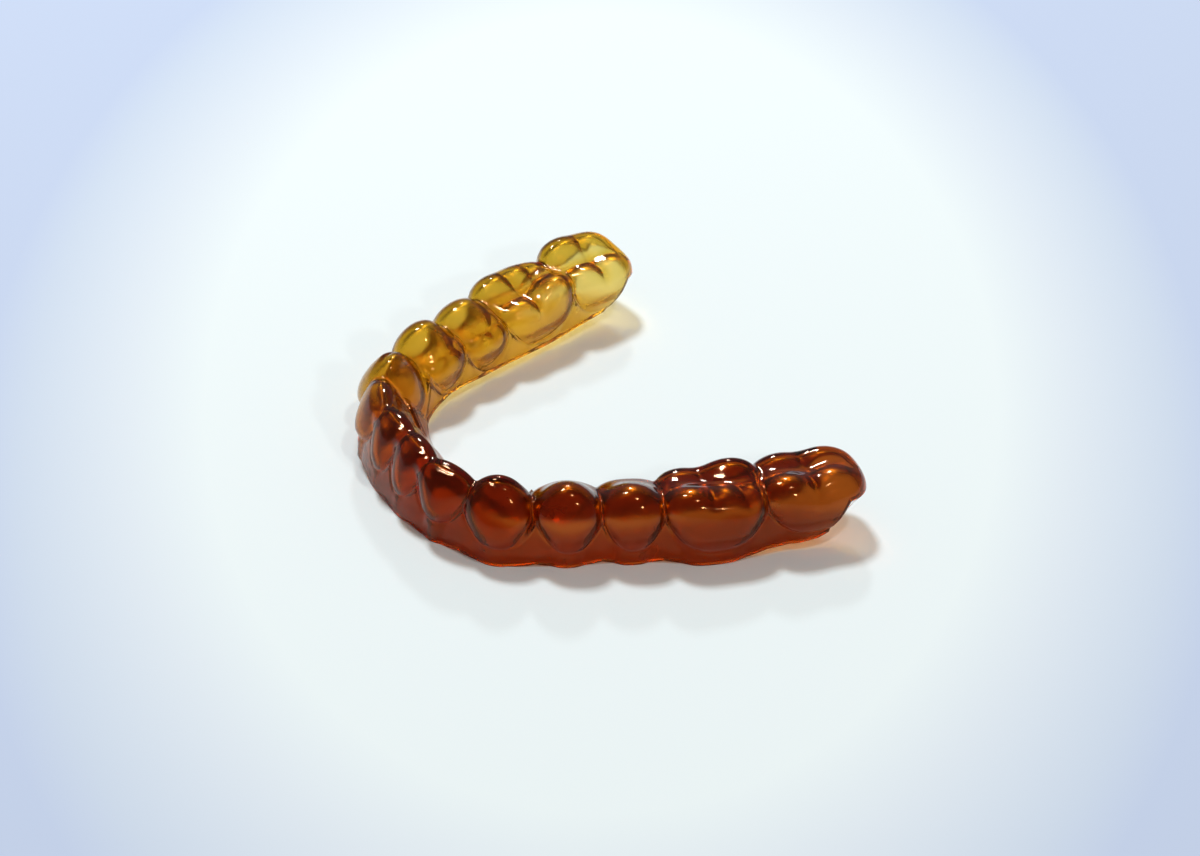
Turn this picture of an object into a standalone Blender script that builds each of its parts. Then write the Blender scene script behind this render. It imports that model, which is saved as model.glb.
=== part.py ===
"""Dental aligner for a full lower arch: one thin moulded shell over fourteen crowns.

The shell has an even wall. Its inside is the surface of a row of crowns that stand in a gum
ridge, and its outside lies one wall thickness further out. Both are found along the same rays,
which start inside the row, so that the wall can't cross itself in the grooves between crowns.
The origin is on the surface that the rim rests on. The front teeth face -Y, the arms run
towards +Y, and the wearer's left is +X. All sizes are in metres.
"""
import math
from collections import namedtuple

import bmesh
import bpy
import numpy as np

# Shell
SHEET = 0.0008              # wall thickness
RIM_WAVE = 0.00035          # how far the cheek rim lifts between two teeth
RIM_FLAT = 0.35             # share of a tooth's half width along which the rim stays flat
TOUCH = 0.00015             # how far neighbouring crowns are pressed together at their contacts

# Arch line that the crowns stand on: how far out and how far back it passes each of them
MIDLINE_BACK = 0.0013
LATERAL_OUT = 0.0079
LATERAL_BACK = 0.0021
CANINE_OUT = 0.0126
CANINE_BACK = 0.0055
FIRST_PREMOLAR_OUT = 0.0159
FIRST_PREMOLAR_BACK = 0.0121
SECOND_PREMOLAR_OUT = 0.0183
SECOND_PREMOLAR_BACK = 0.0188
FIRST_MOLAR_OUT = 0.02135
FIRST_MOLAR_BACK = 0.0270
SECOND_MOLAR_OUT = 0.0237
SECOND_MOLAR_BACK = 0.0375
ARCH_END_OUT = 0.0245
ARCH_END_BACK = 0.0430
ARCH = (
    (0.0, MIDLINE_BACK),
    (LATERAL_OUT, LATERAL_BACK),
    (CANINE_OUT, CANINE_BACK),
    (FIRST_PREMOLAR_OUT, FIRST_PREMOLAR_BACK),
    (SECOND_PREMOLAR_OUT, SECOND_PREMOLAR_BACK),
    (FIRST_MOLAR_OUT, FIRST_MOLAR_BACK),
    (SECOND_MOLAR_OUT, SECOND_MOLAR_BACK),
    (ARCH_END_OUT, ARCH_END_BACK),
)

# Gum ridge under the crowns
PAPILLA = 0.0053            # height of the gum between two teeth
GUM_LEAN = 0.0007           # how much thinner the ridge is at the papilla than at the rim
GUM_ROUND = 0.0008          # rounding of the ridge's top
GUM_LINE = 0.00020          # softness of the crease where a crown leaves the gum
GUM_END = 0.0008            # how far before the back of the last crown the ridge ends

# Creases of the shell. The resin fills them a little, so they are softer outside than inside.
CLEFT = 0.00020             # between two neighbouring crowns, inside
CLEFT_FILL = 0.00010        # and how much softer that is outside
FISSURE = 0.0003            # between two cusps, inside
FISSURE_FILL = 0.0009       # and how much softer that is outside

# Closed ends behind the second molars
END_RIM = 0.0058            # height of the rim behind the last molar
END_START = 0.0012          # where the end begins, behind the middle of the last molar
END_FOOT = 0.0022           # how far the sections' foot moves back while they tilt
END_CREST = 0.0032          # how far the sections' crest moves back
END_RISE = 0.45             # slope of the rim on the back half of the last molar

# Mesh
END_ROWS = 10               # tilted sections at each closed end
WALL_POINTS = 16            # faces across one section, from rim to rim
WALL_SHARE = 0.3            # share of a section's rays that leave each upright wall
DENSE_RAYS = 97             # rays that a section's length is measured with
REACH = 0.0095              # length of the rays that find the surface
NEIGHBOUR = 0.0050          # how far from a crown its shape still counts
SLOPE_STEP = 0.00001        # height step that a crown's slope is measured with
MARCH_STEPS = 40
HALVINGS = 16

Cusp = namedtuple("Cusp", "along across height long_radius cross_radius")
Tooth = namedtuple("Tooth", (
    "width neck contact square shoulder "
    "cheek_neck cheek_bulge cheek_edge cheek_height "
    "tongue_neck tongue_bulge tongue_edge tongue_height hollow "
    "margin gum_cheek gum_tongue gum_slope rim_cheek rim_tongue foot crest_side crest rows cusps"))

CENTRAL = Tooth(
    width=0.0051, neck=0.0028, contact=0.0070, square=1.85, shoulder=0.0009,
    cheek_neck=0.0020, cheek_bulge=0.0023, cheek_edge=0.00065, cheek_height=0.0044,
    tongue_neck=0.0033, tongue_bulge=0.0031, tongue_edge=0.00065, tongue_height=0.0038, hollow=True,
    margin=0.0026, gum_cheek=0.0021, gum_tongue=0.0058, gum_slope=0.0034,
    rim_cheek=0.0, rim_tongue=0.0004,
    foot=-0.0022, crest_side=-0.0002, crest=0.0054, rows=8,
    cusps=(Cusp(0.0, 0.0, 0.0082, 0.0090, 0.0012),))
LATERAL = Tooth(
    width=0.0059, neck=0.0033, contact=0.0069, square=1.85, shoulder=0.0009,
    cheek_neck=0.0019, cheek_bulge=0.0023, cheek_edge=0.00065, cheek_height=0.0044,
    tongue_neck=0.0033, tongue_bulge=0.0031, tongue_edge=0.00065, tongue_height=0.0038, hollow=True,
    margin=0.0027, gum_cheek=0.0016, gum_tongue=0.0056, gum_slope=0.0032,
    rim_cheek=0.0, rim_tongue=0.0006,
    foot=-0.0021, crest_side=-0.0002, crest=0.0053, rows=9,
    cusps=(Cusp(-0.0002, 0.0, 0.0081, 0.0080, 0.0012),))
CANINE = Tooth(
    width=0.0072, neck=0.0044, contact=0.0066, square=2.2, shoulder=0.0010,
    cheek_neck=0.0029, cheek_bulge=0.0033, cheek_edge=0.0007, cheek_height=0.0042,
    tongue_neck=0.0028, tongue_bulge=0.0031, tongue_edge=0.0007, tongue_height=0.0038, hollow=True,
    margin=0.0021, gum_cheek=0.0026, gum_tongue=0.0042, gum_slope=0.0017,
    rim_cheek=0.0, rim_tongue=0.0010,
    foot=-0.0010, crest_side=-0.0001, crest=0.0050, rows=10,
    cusps=(Cusp(-0.0004, 0.0, 0.0086, 0.0020, 0.0013),))
FIRST_PREMOLAR = Tooth(
    width=0.0072, neck=0.0045, contact=0.0064, square=2.5, shoulder=0.0011,
    cheek_neck=0.0032, cheek_bulge=0.0036, cheek_edge=0.0022, cheek_height=0.0042,
    tongue_neck=0.0022, tongue_bulge=0.0030, tongue_edge=0.0026, tongue_height=0.0048, hollow=False,
    margin=0.0017, gum_cheek=0.0028, gum_tongue=0.0026, gum_slope=0.0004,
    rim_cheek=0.0, rim_tongue=0.0015,
    foot=0.0, crest_side=0.0, crest=0.0044, rows=10,
    cusps=(Cusp(-0.0001, 0.0015, 0.0085, 0.0022, 0.0024), Cusp(0.0002, -0.0021, 0.0061, 0.0032, 0.0026),
           Cusp(-0.0026, -0.0004, 0.0058, 0.0014, 0.0026), Cusp(0.0026, -0.0004, 0.0060, 0.0014, 0.0026)))
SECOND_PREMOLAR = Tooth(
    width=0.0071, neck=0.0048, contact=0.0063, square=2.7, shoulder=0.0011,
    cheek_neck=0.0034, cheek_bulge=0.0039, cheek_edge=0.0027, cheek_height=0.0042,
    tongue_neck=0.0022, tongue_bulge=0.0031, tongue_edge=0.0027, tongue_height=0.0048, hollow=False,
    margin=0.0017, gum_cheek=0.0029, gum_tongue=0.0029, gum_slope=0.0006,
    rim_cheek=0.0, rim_tongue=0.0014,
    foot=0.0, crest_side=0.0, crest=0.0041, rows=10,
    cusps=(Cusp(-0.0001, 0.0018, 0.0079, 0.0031, 0.0028), Cusp(-0.0008, -0.0020, 0.0058, 0.0034, 0.0028),
           Cusp(0.0018, -0.0020, 0.0056, 0.0028, 0.0026),
           Cusp(-0.0026, 0.0002, 0.0060, 0.0014, 0.0028), Cusp(0.0026, 0.0002, 0.0060, 0.0014, 0.0028)))
FIRST_MOLAR = Tooth(
    width=0.0110, neck=0.0084, contact=0.0060, square=3.3, shoulder=0.0012,
    cheek_neck=0.0042, cheek_bulge=0.0046, cheek_edge=0.0036, cheek_height=0.0038,
    tongue_neck=0.0031, tongue_bulge=0.0039, tongue_edge=0.0034, tongue_height=0.0046, hollow=False,
    margin=0.0017, gum_cheek=0.0039, gum_tongue=0.0037, gum_slope=0.0006,
    rim_cheek=0.0, rim_tongue=0.0013,
    foot=0.0, crest_side=0.0, crest=0.0040, rows=15,
    cusps=(Cusp(-0.0028, 0.0027, 0.0078, 0.0036, 0.0031), Cusp(0.0010, 0.0026, 0.0074, 0.0034, 0.0031),
           Cusp(0.0041, 0.0018, 0.0070, 0.0026, 0.0028), Cusp(-0.0030, -0.0026, 0.0068, 0.0044, 0.0031),
           Cusp(0.0031, -0.0026, 0.0077, 0.0040, 0.0031),
           Cusp(-0.0046, 0.0, 0.0064, 0.0015, 0.0040), Cusp(0.0047, -0.0002, 0.0065, 0.0015, 0.0036)))
SECOND_MOLAR = Tooth(
    width=0.0116, neck=0.0088, contact=0.0060, square=3.2, shoulder=0.0012,
    cheek_neck=0.0039, cheek_bulge=0.0044, cheek_edge=0.0034, cheek_height=0.0044,
    tongue_neck=0.0031, tongue_bulge=0.0038, tongue_edge=0.0033, tongue_height=0.0048, hollow=False,
    margin=0.0022, gum_cheek=0.0034, gum_tongue=0.0034, gum_slope=0.0006,
    rim_cheek=0.0014, rim_tongue=0.0014,
    foot=0.0, crest_side=0.0, crest=0.0042, rows=15,
    cusps=(Cusp(-0.0031, 0.0025, 0.0078, 0.0042, 0.0031), Cusp(0.0024, 0.0024, 0.0076, 0.0042, 0.0031),
           Cusp(-0.0024, -0.0025, 0.0073, 0.0046, 0.0031), Cusp(0.0030, -0.0024, 0.0072, 0.0046, 0.0031),
           Cusp(-0.0049, 0.0, 0.0066, 0.0015, 0.0040), Cusp(0.0049, 0.0, 0.0066, 0.0017, 0.0040)))
SHORT_MOLAR = SECOND_MOLAR._replace(
    width=0.0092, neck=0.0070, cheek_bulge=0.0047, gum_tongue=0.0034, rim_tongue=0.0020, rows=14,
    cusps=(Cusp(-0.0020, 0.0031, 0.0087, 0.0040, 0.0031), Cusp(0.0020, 0.0026, 0.0080, 0.0038, 0.0030),
           Cusp(-0.0022, -0.0025, 0.0074, 0.0038, 0.0031), Cusp(0.0021, -0.0023, 0.0072, 0.0036, 0.0030),
           Cusp(-0.0039, 0.0, 0.0066, 0.0015, 0.0040), Cusp(0.0039, 0.0, 0.0066, 0.0016, 0.0040)))
FRONT_TEETH = (CENTRAL, LATERAL, CANINE, FIRST_PREMOLAR, SECOND_PREMOLAR, FIRST_MOLAR)
LEFT_TEETH = FRONT_TEETH + (SECOND_MOLAR,)
RIGHT_TEETH = FRONT_TEETH + (SHORT_MOLAR,)

# Amber resin
AMBER = (0.42, 0.13, 0.012, 1.0)
RESIN_ROUGHNESS = 0.08
RESIN_IOR = 1.5


def through(x, xs, ys):
    """A smooth curve through points: cubic pieces with finite-difference slopes, straight outside."""
    xs = np.asarray(xs, float)
    ys = np.asarray(ys, float)
    slopes = np.gradient(ys, xs)
    x = np.asarray(x, float)
    i = np.clip(np.searchsorted(xs, x) - 1, 0, len(xs) - 2)
    span = xs[i + 1] - xs[i]
    t = np.clip((x - xs[i]) / span, 0.0, 1.0)
    curve = ((2 * t ** 3 - 3 * t ** 2 + 1) * ys[i] + (t ** 3 - 2 * t ** 2 + t) * span * slopes[i]
             + (3 * t ** 2 - 2 * t ** 3) * ys[i + 1] + (t ** 3 - t ** 2) * span * slopes[i + 1])
    before = np.minimum(x - xs[0], 0.0) * slopes[0]
    after = np.maximum(x - xs[-1], 0.0) * slopes[-1]
    return curve + before + after


def soft_min(a, b, blend):
    """The smaller of two values, rounded where they meet."""
    near = np.maximum(blend - np.abs(a - b), 0.0) / blend
    return np.minimum(a, b) - near * near * blend / 4


def soft_max(a, b, blend):
    """The larger of two values, rounded where they meet."""
    return -soft_min(-a, -b, blend)


def ease(share):
    """A share from 0 to 1 with level ends, so that a surface has no crease where it starts or stops."""
    share = np.clip(share, 0.0, 1.0)
    return share * share * (3 - 2 * share)


class ArchLine:
    """The arch line, read by distance from the midline, with its tangent and its outward normal."""

    FINE = 2000

    def __init__(self, points):
        half = np.array(points)
        whole = np.vstack([half[:0:-1] * (-1, 1), half])
        chord = np.concatenate([[0.0], np.cumsum(np.linalg.norm(np.diff(whole, axis=0), axis=1))])
        middle = chord[len(half) - 1]
        fine = np.linspace(middle, chord[-1] + middle / 8, self.FINE)
        self.place = np.column_stack([through(fine, chord, whole[:, k]) for k in (0, 1)])
        steps = np.linalg.norm(np.diff(self.place, axis=0), axis=1)
        self.distance = np.concatenate([[0.0], np.cumsum(steps)])

    def point(self, distance):
        """Points on the arch line."""
        return np.column_stack([np.interp(distance, self.distance, self.place[:, k]) for k in (0, 1)])

    def frame(self, distance):
        """Tangents towards the back and normals towards the cheek."""
        distance = np.atleast_1d(distance)
        step = self.distance[-1] / 400
        ahead = self.point(distance + step) - self.point(np.maximum(distance - step, 0.0))
        tangent = ahead / np.linalg.norm(ahead, axis=1)[:, None]
        tangent[distance <= 0.0] = (1.0, 0.0)
        normal = np.column_stack([tangent[:, 1], -tangent[:, 0]])
        return tangent, normal


LINE = ArchLine(ARCH)


def wall(z, neck, bulge, edge, margin, bulge_height, top, hollow):
    """Half depth of a crown at height z: full at its bulge, less at the neck and at the edge."""
    up = np.clip((z - bulge_height) / (top - bulge_height), 0.0, 1.3)
    rise = ease(up) if hollow else up ** 1.9
    fall = ease((bulge_height - z) / (bulge_height - margin))
    return np.maximum(bulge - (bulge - edge) * rise - (bulge - neck) * fall, edge / 4)


def half_sizes(tooth, cheek_side, z):
    """Half width and half depth of a crown at height z."""
    top = max(cusp.height for cusp in tooth.cusps)
    below = ease((tooth.contact - z) / (tooth.contact - tooth.margin))
    half_width = tooth.width / 2 + TOUCH - (tooth.width - tooth.neck) / 2 * below
    cheek = wall(z, tooth.cheek_neck, tooth.cheek_bulge, tooth.cheek_edge, tooth.margin,
                 tooth.cheek_height, top, False)
    tongue = wall(z, tooth.tongue_neck, tooth.tongue_bulge, tooth.tongue_edge, tooth.margin,
                  tooth.tongue_height, top, tooth.hollow)
    return half_width, np.where(cheek_side, cheek, tongue)


def crown(tooth, along, across, z, fissure):
    """Distance-like value of one crown: negative inside, zero on its surface."""
    half_width, half_depth = half_sizes(tooth, across > 0, z)
    wider, deeper = half_sizes(tooth, across > 0, z + SLOPE_STEP)
    u = np.abs(along) / half_width + 1e-6
    v = np.abs(across) / half_depth + 1e-6
    power = tooth.square
    size = (u ** power + v ** power) ** (1 / power)
    scale = size ** (power - 1)
    slope_along = u ** (power - 1) / half_width / scale
    slope_across = v ** (power - 1) / half_depth / scale
    slope_up = (u ** power * (wider - half_width) / half_width
                + v ** power * (deeper - half_depth) / half_depth) / SLOPE_STEP / scale
    side = (size - 1) / np.sqrt(slope_along ** 2 + slope_across ** 2 + slope_up ** 2)
    top = None
    for cusp in tooth.cusps:
        a = (along - cusp.along) / cusp.long_radius
        c = (across - cusp.across) / cusp.cross_radius
        drop = a * a * cusp.long_radius / 2 + c * c * cusp.cross_radius / 2
        lobe = (z - cusp.height + drop) / np.sqrt(1 + a * a + c * c)
        top = lobe if top is None else soft_min(top, lobe, fissure)
    return soft_max(side, top, tooth.shoulder)


class Arm:
    """One half of the row, worked out on the wearer's left: its crowns, gum ridge and sections."""

    def __init__(self, teeth):
        self.teeth = teeth
        widths = np.array([tooth.width for tooth in teeth])
        self.half_widths = widths / 2
        self.ends = np.cumsum(widths)
        self.middles = self.ends - self.half_widths
        self.places = LINE.point(self.middles)
        self.tangents, self.normals = LINE.frame(self.middles)
        self.set_sections()

    def along(self, distance, name):
        """One of the sizes of the teeth, carried smoothly from tooth to tooth along the arch."""
        middles = np.concatenate([[-self.middles[0]], self.middles])
        sizes = [getattr(tooth, name) for tooth in self.teeth[:1] + self.teeth]
        return through(np.clip(distance, 0.0, self.middles[-1]), middles, sizes)

    def from_middle(self, distance):
        """How far a place is from the middle of its tooth: 0 there, 1 at the contacts."""
        distance = np.clip(np.abs(distance), 0.0, self.ends[-1])
        tooth = np.clip(np.searchsorted(self.ends, distance), 0, len(self.ends) - 1)
        return np.abs(distance - self.middles[tooth]) / self.half_widths[tooth]

    def gum(self, distance, across, z):
        """Distance-like value of the gum ridge: a scalloped bank that leans in towards its top."""
        distance = np.abs(distance)
        margin = self.along(distance, "margin")
        top = margin + (PAPILLA - margin) * self.from_middle(distance) ** 1.8
        lean = np.clip(z / PAPILLA, 0.0, 1.6)
        cheek = self.along(distance, "gum_cheek") - GUM_LEAN * lean ** 1.8
        slope = self.along(distance, "gum_slope")
        tongue = self.along(distance, "gum_tongue") - slope * lean
        side = np.maximum(across - cheek, (-across - tongue) / np.sqrt(1 + (slope / PAPILLA) ** 2))
        side = np.maximum(side, distance - self.ends[-1] + GUM_END)
        return soft_max(side, z - top, GUM_ROUND)

    def solid(self, xy, z, distance, across, level):
        """Distance-like value of the crowns and the gum ridge together, for one level of the wall.

        Each row of the arrays is one section, so only the crowns near it are worked out. The
        first crown of the other half is seen by mirroring the points.
        """
        cleft = CLEFT + CLEFT_FILL * level / SHEET
        fissure = FISSURE + FISSURE_FILL * level / SHEET
        value = np.full(z.shape, 1.0)
        for k, tooth in enumerate(self.teeth):
            near = np.abs(distance[:, 0] - self.middles[k]) < tooth.width / 2 + NEIGHBOUR
            offset = xy[near] - self.places[k]
            shape = crown(tooth, offset @ self.tangents[k], offset @ self.normals[k], z[near], fissure)
            value[near] = soft_min(value[near], shape, cleft)
        first = self.teeth[0]
        near = distance[:, 0] < NEIGHBOUR
        offset = xy[near] * (-1, 1) - self.places[0]
        shape = crown(first, offset @ self.tangents[0], offset @ self.normals[0], z[near], fissure)
        value[near] = soft_min(value[near], shape, cleft)
        return soft_min(value, self.gum(distance, across, z), GUM_LINE)

    def places_of_sections(self):
        """Where the upright sections stand along the arch, closest together near the contacts."""
        places = [0.0]
        for tooth, middle in zip(self.teeth, self.middles):
            for k in range(1, tooth.rows + 1):
                even = 2 * k / tooth.rows - 1
                spread = 0.75 * even + 0.25 * math.sin(even * math.pi / 2)
                places.append(middle + tooth.width / 2 * spread)
        last = self.middles[-1] + END_START
        return np.array([place for place in places if place < last - END_START / 4] + [last])

    def set_sections(self):
        """The sections' places, tilts, rims, feet and crests, out to the closed end."""
        upright = self.places_of_sections()
        quarter = np.linspace(0.0, math.pi / 2, END_ROWS + 1)[1:]
        self.tilt = np.concatenate([np.zeros(len(upright)), quarter])
        self.base = np.concatenate([upright, np.full(END_ROWS, upright[-1])])
        beyond = np.maximum(self.base - self.middles[-1], 0.0)
        rim_cheek = np.maximum(self.along(self.base, "rim_cheek"), 0.0) + END_RISE * beyond
        rim_tongue = np.maximum(self.along(self.base, "rim_tongue"), 0.0) + END_RISE * beyond
        lift = np.clip((self.from_middle(self.base) - RIM_FLAT) / (1 - RIM_FLAT), 0.0, 1.0)
        crest = self.along(self.base, "crest")
        share = 1 - np.cos(self.tilt)
        share = share + (np.sin(self.tilt) - share) / 2
        self.rim_cheek = rim_cheek + RIM_WAVE * lift ** 1.5
        self.rim_cheek += (END_RIM - self.rim_cheek) * share
        self.rim_tongue = rim_tongue + (END_RIM - rim_tongue) * share
        self.crest = crest + (END_RIM - crest) * share
        self.foot_back = END_FOOT * share
        self.crest_back = END_CREST * share
        self.foot_side = self.along(self.base, "foot")
        self.crest_side = self.along(self.base, "crest_side")

    def rays(self, v):
        """Starts and directions of the rays at v, 0 at the cheek rim and 1 at the tongue rim."""
        cheek_wall = np.clip(v / WALL_SHARE, 0.0, 1.0)
        tongue_wall = np.clip((1 - v) / WALL_SHARE, 0.0, 1.0)
        rise = np.minimum(cheek_wall, tongue_wall)
        foot = np.where(v < 0.5, self.rim_cheek[:, None], self.rim_tongue[:, None])
        turn = np.clip((v - WALL_SHARE) / (1 - 2 * WALL_SHARE), 0.0, 1.0) * math.pi
        back = self.foot_back[:, None] + (self.crest_back - self.foot_back)[:, None] * rise
        side = self.foot_side[:, None] + (self.crest_side - self.foot_side)[:, None] * rise
        height = foot + (self.crest[:, None] - foot) * rise
        start = np.stack([back, side, height], axis=-1)
        tilt = self.tilt[:, None]
        direction = np.stack([np.sin(turn) * np.sin(tilt), np.cos(turn) + 0 * tilt,
                              np.sin(turn) * np.cos(tilt)], axis=-1)
        return start, direction

    def hit(self, v, level):
        """Points where the rays at v cross a level of the solid, coming from outside."""
        start, direction = self.rays(v)
        origin = LINE.point(self.base)[:, None]
        tangent, normal = (part[:, None] for part in LINE.frame(self.base))

        def spots(reach):
            local = start + direction * reach[..., None]
            xy = origin + local[..., :1] * tangent + local[..., 1:2] * normal
            return xy, local

        def inside(reach):
            xy, local = spots(reach)
            distance = self.base[:, None] + local[..., 0]
            return self.solid(xy, local[..., 2], distance, local[..., 1], level) < level

        far = np.full(v.shape, REACH)
        near = np.zeros(v.shape)
        found = np.zeros(v.shape, bool)
        for k in range(1, MARCH_STEPS + 1):
            reach = np.full(v.shape, REACH * (1 - k / MARCH_STEPS))
            hit = inside(reach)
            near = np.where(hit & ~found, reach, near)
            far = np.where(~hit & ~found, reach, far)
            found |= hit
        for _ in range(HALVINGS):
            middle = (near + far) / 2
            hit = inside(middle)
            near = np.where(hit, middle, near)
            far = np.where(hit, far, middle)
        xy, local = spots((near + far) / 2)
        return np.concatenate([xy, local[..., 2:]], axis=-1)

    def even_rays(self, count):
        """For each section, the rays that cut its outside into equal lengths."""
        dense = np.linspace(0.0, 1.0, DENSE_RAYS)
        v = np.tile(dense, (len(self.base), 1))
        steps = np.linalg.norm(np.diff(self.hit(v, SHEET), axis=1), axis=2)
        lengths = np.concatenate([np.zeros((len(v), 1)), np.cumsum(steps, axis=1)], axis=1)
        shares = np.linspace(0.0, 1.0, count + 1)
        return np.array([np.interp(shares * length[-1], length, dense) for length in lengths])


def skins(count):
    """Outside and inside of the shell as grids of points, section by section from -X to +X."""
    right, left = Arm(RIGHT_TEETH), Arm(LEFT_TEETH)
    grids = []
    rays = {arm: arm.even_rays(count) for arm in (left, right)}
    for level in (SHEET, 0.0):
        mirrored = right.hit(rays[right], level)[:0:-1] * (-1, 1, 1)
        grids.append(np.concatenate([mirrored, left.hit(rays[left], level)]))
    return grids


def shell_mesh(name, outside, inside):
    """A closed mesh between two grids of points, joined by a flat face all along the rim."""
    rows, columns = outside.shape[:2]
    mesh = bmesh.new()
    skins = []
    for grid in (outside, inside):
        skins.append([[mesh.verts.new(point) for point in row] for row in grid])
    outer, inner = skins
    for i in range(rows - 1):
        for j in range(columns - 1):
            mesh.faces.new((outer[i][j], outer[i][j + 1], outer[i + 1][j + 1], outer[i + 1][j]))
            mesh.faces.new((inner[i][j], inner[i + 1][j], inner[i + 1][j + 1], inner[i][j + 1]))
        for j in (0, columns - 1):
            mesh.faces.new((outer[i][j], outer[i + 1][j], inner[i + 1][j], inner[i][j]))
    for j in range(columns - 1):
        for i in (0, rows - 1):
            mesh.faces.new((outer[i][j], outer[i][j + 1], inner[i][j + 1], inner[i][j]))
    bmesh.ops.recalc_face_normals(mesh, faces=mesh.faces)
    if mesh.calc_volume(signed=True) < 0:
        bmesh.ops.reverse_faces(mesh, faces=mesh.faces)
    data = bpy.data.meshes.new(name)
    mesh.to_mesh(data)
    mesh.free()
    data.shade_smooth()
    data.set_sharp_from_angle(angle=math.radians(60))
    return data


def resin():
    """Clear amber resin, cast glossy."""
    material = bpy.data.materials.new("amber_resin")
    material.use_nodes = True
    shader = material.node_tree.nodes["Principled BSDF"]
    shader.inputs["Base Color"].default_value = AMBER
    shader.inputs["Roughness"].default_value = RESIN_ROUGHNESS
    shader.inputs["Metallic"].default_value = 0.0
    shader.inputs["IOR"].default_value = RESIN_IOR
    shader.inputs["Transmission Weight"].default_value = 0.8
    return material


def build():
    """The aligner, standing on its rim with its origin under the middle of its box."""
    for old in list(bpy.data.objects):
        bpy.data.objects.remove(old, do_unlink=True)
    outside, inside = skins(WALL_POINTS)
    low = outside.reshape(-1, 3).min(axis=0)
    high = outside.reshape(-1, 3).max(axis=0)
    centre = (low + high) / 2
    centre[2] = min(low[2], inside[..., 2].min())
    data = shell_mesh("aligner_shell", outside - centre, inside - centre)
    data.materials.append(resin())
    shell = bpy.data.objects.new("aligner_shell", data)
    bpy.context.scene.collection.objects.link(shell)
    return shell


build()
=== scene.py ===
# %% [markdown]
# # A clear aligner in amber resin
#
# An aligner is a thin shell that snaps over a row of teeth. This one covers a full lower row:
# fourteen hollow crowns, a band of gum under them, and a rim trimmed a few millimetres below the
# gum line. It lies on its rim, so the chewing side is up and the hollow trough is hidden
# underneath.
#
# The plain CAD model of the shell is loaded first, and the detailed shell that this lesson builds
# takes its place. Lengths are in metres.

# %% Helpers, and the CAD model of the shell
import math
from collections import namedtuple

import bpy
import numpy as np
from mathutils import Matrix, Vector


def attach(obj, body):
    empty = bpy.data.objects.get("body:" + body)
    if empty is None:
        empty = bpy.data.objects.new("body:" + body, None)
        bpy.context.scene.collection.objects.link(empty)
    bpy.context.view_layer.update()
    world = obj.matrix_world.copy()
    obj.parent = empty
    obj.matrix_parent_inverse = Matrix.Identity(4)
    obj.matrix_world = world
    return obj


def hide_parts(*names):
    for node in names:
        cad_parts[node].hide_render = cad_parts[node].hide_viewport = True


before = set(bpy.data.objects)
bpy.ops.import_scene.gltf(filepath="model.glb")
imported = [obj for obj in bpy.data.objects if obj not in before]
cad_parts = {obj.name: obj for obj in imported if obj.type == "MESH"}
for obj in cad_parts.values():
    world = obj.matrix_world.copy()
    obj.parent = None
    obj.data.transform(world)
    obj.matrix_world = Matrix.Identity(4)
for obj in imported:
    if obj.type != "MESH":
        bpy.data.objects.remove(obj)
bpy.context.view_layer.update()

# %% [markdown]
# ## Colours and nodes
#
# Every colour below is written as the sRGB hex value that a colour picker shows. Blender's
# shaders count light, so they need linear values, and one function turns hex into linear. A
# second small function adds a shader node with its settings and its links, so that each material
# reads as a list of steps.

# %% Hex colours and one node helper
def linear(code, alpha=1.0):
    """An sRGB hex colour as linear red, green, blue and alpha."""
    channels = [int(code[k:k + 2], 16) / 255 for k in (1, 3, 5)]
    values = [c / 12.92 if c <= 0.04045 else ((c + 0.055) / 1.055) ** 2.4 for c in channels]
    return (*values, alpha)


def add_node(tree, kind, links=(), **settings):
    """Adds a node, sets its properties or inputs by name, and joins inputs to other sockets."""
    node = tree.nodes.new(kind)
    for name, value in settings.items():
        if hasattr(node, name):
            setattr(node, name, value)
        else:
            node.inputs[name.replace("_", " ")].default_value = value
    for name, socket in dict(links).items():
        tree.links.new(socket, node.inputs[name])
    return node


print("amber in linear light:", [round(c, 3) for c in linear("#B4781E")])

# %% [markdown]
# ## The camera
#
# The photograph looks down at the shell from its +X side, with a long lens: the near and the far
# arm are drawn at almost the same scale. The place, turn and focal length were found by fitting
# the outline of the model to the outline in the photograph. The picture is 1200 pixels wide, and
# a sensor of 36 mm turns the focal length in pixels into a lens in millimetres.

# %% Camera at the photograph's angle
AZIMUTH = math.radians(57.505)        # round the shell, from its front at -Y towards +X
ELEVATION = math.radians(35.732)      # above the floor
ROLL = math.radians(4.366)            # the photograph was held a little askew
DISTANCE = 0.40417                    # from the target
LENS_MM = 107.57
SENSOR_MM = 36.0
CLIP_START = 0.01                     # nothing nearer than this is drawn
TARGET = Vector((0.00735, -0.00016, 0.00761))     # what the middle of the picture shows

back = Vector((math.sin(AZIMUTH) * math.cos(ELEVATION), -math.cos(AZIMUTH) * math.cos(ELEVATION),
               math.sin(ELEVATION)))
level_right = Vector((0.0, 0.0, 1.0)).cross(back).normalized()
level_up = back.cross(level_right)
right = math.cos(ROLL) * level_right + math.sin(ROLL) * level_up
up = math.cos(ROLL) * level_up - math.sin(ROLL) * level_right

camera_data = bpy.data.cameras.new("camera")
camera_data.lens = LENS_MM
camera_data.sensor_width = SENSOR_MM
camera_data.clip_start = CLIP_START
camera = bpy.data.objects.new("camera", camera_data)
camera.matrix_world = (Matrix.Translation(TARGET + DISTANCE * back)
                       @ Matrix((right, up, back)).transposed().to_4x4())
bpy.context.scene.collection.objects.link(camera)
bpy.context.scene.camera = camera

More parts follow.
